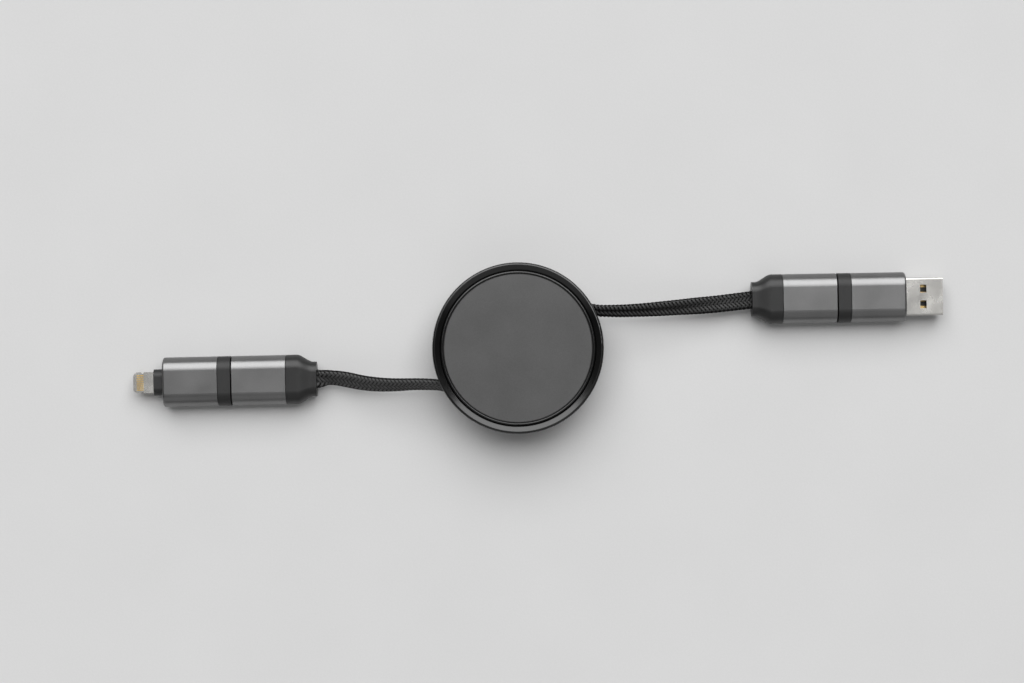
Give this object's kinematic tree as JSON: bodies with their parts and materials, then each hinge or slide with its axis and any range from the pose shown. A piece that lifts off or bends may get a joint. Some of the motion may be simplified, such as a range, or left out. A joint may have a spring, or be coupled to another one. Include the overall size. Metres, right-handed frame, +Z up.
{
  "type": "retractable charging cable",
  "caption": "Round spring reel that pays out one flat braided cable to both sides, with a sleeved plug and a pull-on adapter at each end.",
  "frame": {"origin": "on the reel's axis at its underside", "axes": "+Z up through the face plate, +X along the cable towards the flat plug, +Y towards the side where the right-hand cable leaves the reel"},
  "size_m": [0.2579, 0.054, 0.015],
  "materials": {
    "shell_black": "satin black moulding",
    "plate_grey": "fine blasted, grey anodised",
    "sleeve_grey": "fine blasted, grey anodised",
    "boot_dark": "soft moulded matt",
    "collar_dark": "moulded matt",
    "cable_braid": "braided charcoal yarn",
    "spool_plastic": "natural moulding",
    "pawl_plastic": "moulded",
    "spring_steel": "rolled strip",
    "core_plastic": "moulded black",
    "board_green": "lacquered board",
    "nickel": "nickel plated",
    "insert_black": "moulded black",
    "contact_gold": "gold plated"
  },
  "bodies": {
    "reel": {"lower_shell": "shell_black", "upper_shell": "shell_black", "face_plate": "plate_grey", "right_cable": "cable_braid", "left_cable": "cable_braid"},
    "spool": {"spool_drum": "spool_plastic", "spool_flange": "spool_plastic", "cable_winding": "cable_braid", "mainspring": "spring_steel"},
    "pawl": {"lock_pawl": "pawl_plastic"},
    "right_plug": {"right_boot": "boot_dark", "right_plug_sleeve": "sleeve_grey", "right_plug_core": "core_plastic", "right_plug_board": "board_green", "right_oval_shell": "nickel", "right_oval_insert": "insert_black", "right_oval_contacts": "contact_gold"},
    "left_plug": {"left_boot": "boot_dark", "left_plug_sleeve": "sleeve_grey", "left_plug_core": "core_plastic", "left_plug_board": "board_green", "left_oval_shell": "nickel", "left_oval_insert": "insert_black", "left_oval_contacts": "contact_gold"},
    "right_adapter": {"right_collar": "collar_dark", "right_socket_shell": "nickel", "right_socket_tongue": "insert_black", "right_adapter_sleeve": "sleeve_grey", "right_adapter_core": "core_plastic", "right_adapter_board": "board_green", "flat_plug_shell": "nickel", "flat_plug_tongue": "insert_black", "flat_plug_contacts": "contact_gold"},
    "left_adapter": {"left_collar": "collar_dark", "left_socket_shell": "nickel", "left_socket_tongue": "insert_black", "left_adapter_sleeve": "sleeve_grey", "left_adapter_core": "core_plastic", "left_adapter_board": "board_green", "tab_neck": "collar_dark", "tab_blade": "nickel", "tab_contacts": "contact_gold"}
  },
  "joints": [
    {"name": "spool_spin", "type": "hinge", "parent": "reel", "child": "spool", "pos_m": [0, 0, 0.005], "axis": [0, 0, -1], "range_deg": [-135, 765], "deforming": ["mainspring"]},
    {"name": "right_pull", "type": "slide", "parent": "reel", "child": "right_plug", "axis": [0.9998, 0.0175, 0], "range_m": [-0.0354, 0.2004], "deforming": ["right_cable"]},
    {"name": "left_pull", "type": "slide", "parent": "reel", "child": "left_plug", "axis": [-0.9998, -0.0218, 0], "range_m": [-0.0354, 0.2004], "deforming": ["left_cable"]},
    {"name": "pawl_swing", "type": "hinge", "parent": "reel", "child": "pawl", "pos_m": [0, -0.0182, 0.0025], "axis": [0, 0, 1], "range_deg": [0, 11.5]},
    {"name": "right_adapter_pull", "type": "slide", "parent": "right_plug", "child": "right_adapter", "axis": [0.9998, 0.0175, 0], "range_m": [0, 0.02]},
    {"name": "left_adapter_pull", "type": "slide", "parent": "left_plug", "child": "left_adapter", "axis": [-0.9998, -0.0218, 0], "range_m": [0, 0.02]}
  ],
  "couplings": [
    {"joint": "right_pull", "follows": "spool_spin", "m_per_rad": 0.015},
    {"joint": "left_pull", "follows": "spool_spin", "m_per_rad": 0.015}
  ]
}
